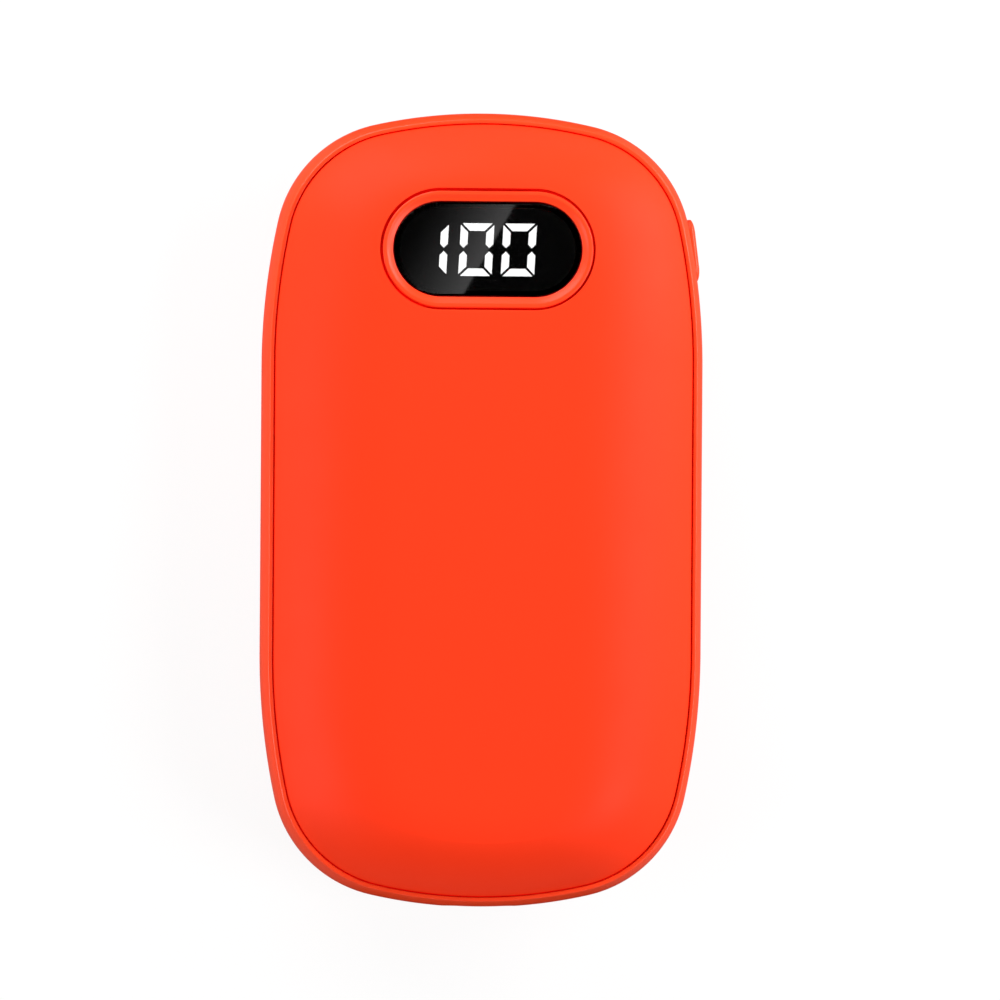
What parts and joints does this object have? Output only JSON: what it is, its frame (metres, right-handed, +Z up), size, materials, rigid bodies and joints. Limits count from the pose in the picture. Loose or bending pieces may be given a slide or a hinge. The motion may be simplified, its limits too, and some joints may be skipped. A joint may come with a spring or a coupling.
{
  "type": "rechargeable hand warmer",
  "caption": "Pillow-shaped rechargeable hand warmer: two domed covers on a rounded side frame, percentage display, side button and charging socket.",
  "frame": {"origin": "middle of the rear face, on which the object lies, below the middle of its outline", "axes": "+Z up out of the front cover, +Y along the length towards the display, +X across the width towards the button"},
  "size_m": [0.0612, 0.1098, 0.026],
  "materials": {
    "shell": "soft-touch painted",
    "frame_shell": "soft-touch painted",
    "bezel": "satin",
    "button": "satin",
    "lens": "polished smoked",
    "lit_digits": "lit white",
    "dark_digits": "unlit",
    "black_plastic": "moulded",
    "white_plastic": "moulded",
    "circuit_board": "solder resist",
    "chips": "moulded",
    "ferrite": "sintered",
    "screws": "plated",
    "chassis": "moulded",
    "cell_pouch": "laminated foil",
    "tape": "adhesive",
    "red_wire": "silicone",
    "black_wire": "silicone",
    "foam": "foamed",
    "heater_film": "polyimide",
    "heat_plate": "rolled",
    "thermal_pad": "silicone",
    "socket_steel": "nickel plated",
    "ribbon": "flat cable"
  },
  "bodies": {
    "case": {"front_cover": "shell", "mid_frame": "frame_shell", "rear_cover": "shell", "display_bezel": "bezel", "display_lens": "lens", "lens_tape": "tape", "display_housing": "black_plastic", "lit_segments": "lit_digits", "unlit_segments": "dark_digits", "switch_body": "black_plastic", "control_board": "circuit_board", "control_chips": "chips", "power_inductor": "ferrite", "board_screws": "screws", "chassis": "chassis", "chassis_screws": "screws", "cell_front": "cell_pouch", "cell_rear": "cell_pouch", "cell_tape": "tape", "cell_board": "circuit_board", "lead_red": "red_wire", "lead_black": "black_wire", "front_foam": "foam", "rear_foam": "foam", "front_heater": "heater_film", "rear_heater": "heater_film", "front_plate": "heat_plate", "rear_plate": "heat_plate", "front_thermal_pad": "thermal_pad", "rear_thermal_pad": "thermal_pad", "thermistor": "black_plastic", "charge_board": "circuit_board", "charge_chips": "chips", "socket_shell": "socket_steel", "socket_tongue": "black_plastic", "link_ribbon": "ribbon"},
    "button": {"button_cap": "button", "switch_stem": "white_plastic"}
  },
  "joints": [
    {"name": "button_press", "type": "slide", "parent": "case", "child": "button", "axis": [-0.9848, -0.1736, 0], "range_m": [0, 0.00035], "stiffness_N_per_m": 1500}
  ]
}
